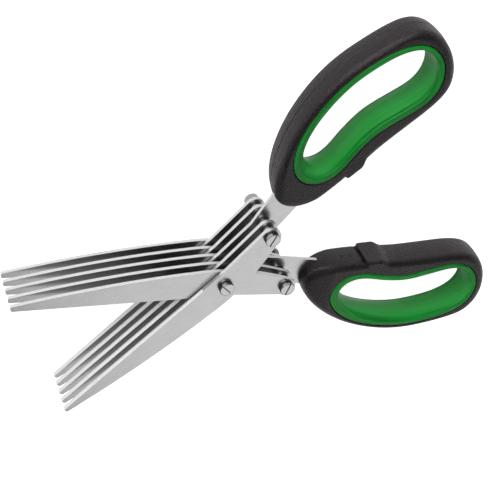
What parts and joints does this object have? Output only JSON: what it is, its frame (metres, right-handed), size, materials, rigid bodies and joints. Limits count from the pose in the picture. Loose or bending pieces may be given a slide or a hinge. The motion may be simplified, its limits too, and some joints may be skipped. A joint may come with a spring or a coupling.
{
  "type": "herb scissors",
  "caption": "Scissors with parallel blades spaced apart along one pivot screw, and two loop handles with soft liners, for snipping herbs.",
  "frame": {"origin": "middle of the pivot nut's flat back face, on the pivot axis and on the surface the scissors lie on", "axes": "+X from the pivot to the handles along the line midway between the two halves, +Z along the pivot axis from the nut to the screw's slotted head, +Y towards the front half's handle"},
  "size_m": [0.1785, 0.1492, 0.0254],
  "materials": {
    "blade_steel": "ground stainless steel, satin faces with bright edges",
    "bright_steel": "polished stainless steel",
    "handle_shell": "black moulded plastic with a fine satin grain",
    "handle_liner": "green soft-touch elastomer, satin"
  },
  "bodies": {
    "front_half": {"front_blade_1": "blade_steel", "front_blade_2": "blade_steel", "front_blade_3": "blade_steel", "front_blade_4": "blade_steel", "front_blade_5": "blade_steel", "front_spacer_1": "bright_steel", "front_spacer_2": "bright_steel", "front_spacer_3": "bright_steel", "front_spacer_4": "bright_steel", "front_cross_bolt": "bright_steel", "front_bolt_nut": "bright_steel", "front_handle_shell": "handle_shell", "front_handle_liner": "handle_liner", "pivot_screw": "bright_steel", "pivot_nut": "bright_steel", "pivot_washer_1": "bright_steel", "pivot_washer_2": "bright_steel", "pivot_washer_3": "bright_steel", "pivot_washer_4": "bright_steel"},
    "back_half": {"back_blade_1": "blade_steel", "back_blade_2": "blade_steel", "back_blade_3": "blade_steel", "back_blade_4": "blade_steel", "back_blade_5": "blade_steel", "back_spacer_1": "bright_steel", "back_spacer_2": "bright_steel", "back_spacer_3": "bright_steel", "back_spacer_4": "bright_steel", "back_cross_bolt": "bright_steel", "back_bolt_nut": "bright_steel", "back_handle_shell": "handle_shell", "back_handle_liner": "handle_liner"}
  },
  "joints": [
    {"name": "pivot", "type": "hinge", "parent": "front_half", "child": "back_half", "pos_m": [0, 0, 0], "axis": [0, 0, 1], "range_deg": [-101, 43.2]}
  ]
}
